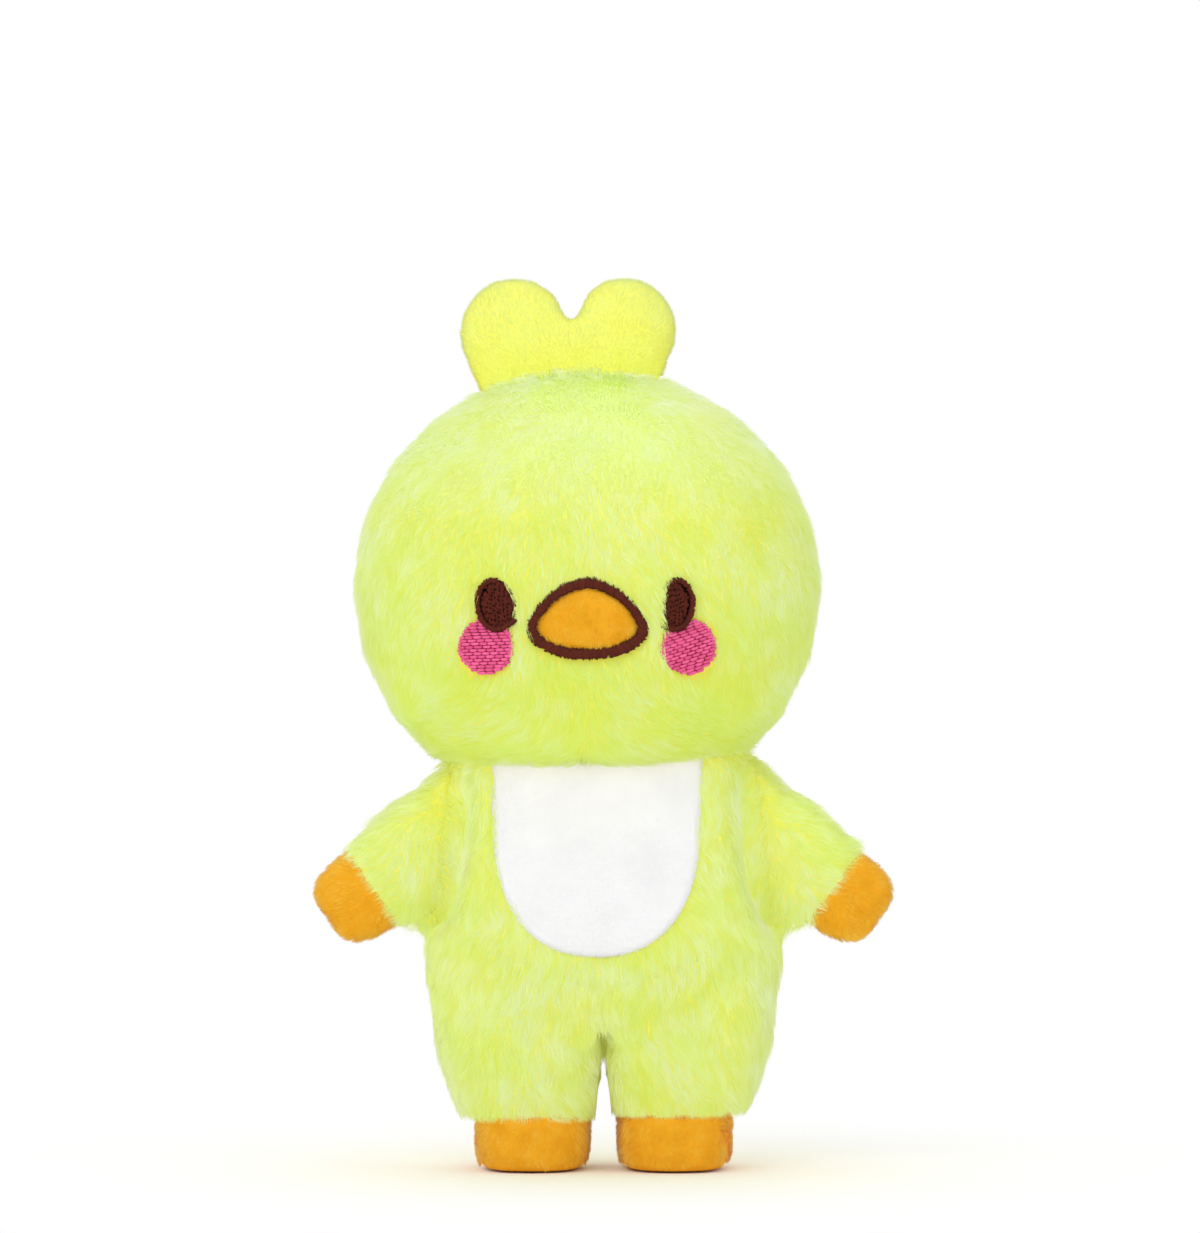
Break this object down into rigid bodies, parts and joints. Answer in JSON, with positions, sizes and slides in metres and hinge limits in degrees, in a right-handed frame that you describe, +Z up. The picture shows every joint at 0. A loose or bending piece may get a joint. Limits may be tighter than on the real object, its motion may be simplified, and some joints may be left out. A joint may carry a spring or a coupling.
{
  "type": "plush chick",
  "caption": "Standing plush chick with a big round head, a two-lobed comb, stitched eyes, cheeks and beak, short arms and legs, and a blank white belly panel.",
  "frame": {"origin": "on the floor, midway between the two soles and midway through the toy's depth", "axes": "+Z up, the chick faces -Y, its own left is +X"},
  "size_m": [0.16, 0.0997, 0.2496],
  "materials": {
    "long_fur": "long-pile lime yellow fur",
    "comb_plush": "short-pile yellow plush",
    "orange_plush": "short-pile orange plush",
    "white_panel": "smooth white velour",
    "brown_thread": "satin-stitched dark brown thread",
    "pink_thread": "fill-stitched pink thread",
    "fibrefill": "white polyester fibre"
  },
  "bodies": {
    "torso": {"body_front_panel": "long_fur", "body_back_left_panel": "long_fur", "body_back_right_panel": "long_fur", "belly_patch": "white_panel", "body_stuffing": "fibrefill"},
    "neck": {"neck_wad": "fibrefill"},
    "head": {"face_panel": "long_fur", "head_back_left_panel": "long_fur", "head_back_right_panel": "long_fur", "head_stuffing": "fibrefill", "beak_patch": "orange_plush", "beak_border": "brown_thread", "left_eye": "brown_thread", "right_eye": "brown_thread", "left_cheek": "pink_thread", "right_cheek": "pink_thread"},
    "comb": {"comb_front_panel": "comb_plush", "comb_back_panel": "comb_plush", "comb_stuffing": "fibrefill"},
    "left_arm": {"left_sleeve_front": "long_fur", "left_sleeve_back": "long_fur", "left_hand_front": "orange_plush", "left_hand_back": "orange_plush", "left_arm_stuffing": "fibrefill"},
    "right_arm": {"right_sleeve_front": "long_fur", "right_sleeve_back": "long_fur", "right_hand_front": "orange_plush", "right_hand_back": "orange_plush", "right_arm_stuffing": "fibrefill"},
    "left_leg": {"left_leg_front": "long_fur", "left_leg_back": "long_fur", "left_foot_upper": "orange_plush", "left_sole": "orange_plush", "left_leg_stuffing": "fibrefill"},
    "right_leg": {"right_leg_front": "long_fur", "right_leg_back": "long_fur", "right_foot_upper": "orange_plush", "right_sole": "orange_plush", "right_leg_stuffing": "fibrefill"}
  },
  "joints": [
    {"name": "neck_turn", "type": "hinge", "parent": "torso", "child": "neck", "pos_m": [-0.00225, 0, 0.1125], "axis": [0, 0, 1], "range_deg": [-25, 25], "stiffness_Nm_per_rad": 0.3},
    {"name": "head_nod", "type": "hinge", "parent": "neck", "child": "head", "pos_m": [-0.00225, 0, 0.1176], "axis": [1, 0, 0], "range_deg": [-12, 12], "stiffness_Nm_per_rad": 0.8},
    {"name": "comb_fold", "type": "hinge", "parent": "head", "child": "comb", "pos_m": [-0.009, 0, 0.2213], "axis": [0.9957, 0, 0.0924], "range_deg": [-40, 40], "stiffness_Nm_per_rad": 0.01},
    {"name": "left_shoulder", "type": "hinge", "parent": "torso", "child": "left_arm", "pos_m": [0.0445, 0, 0.0908], "axis": [0.1028, 0, -0.9947], "range_deg": [-30, 60], "stiffness_Nm_per_rad": 0.02},
    {"name": "right_shoulder", "type": "hinge", "parent": "torso", "child": "right_arm", "pos_m": [-0.0445, 0, 0.0908], "axis": [0.1028, 0, 0.9947], "range_deg": [-30, 60], "stiffness_Nm_per_rad": 0.02},
    {"name": "left_hip", "type": "hinge", "parent": "torso", "child": "left_leg", "pos_m": [0.0241, 0, 0.048], "axis": [-1, 0, 0], "range_deg": [-15, 45], "stiffness_Nm_per_rad": 0.6},
    {"name": "right_hip", "type": "hinge", "parent": "torso", "child": "right_leg", "pos_m": [-0.0241, 0, 0.048], "axis": [-1, 0, 0], "range_deg": [-15, 45], "stiffness_Nm_per_rad": 0.6}
  ]
}
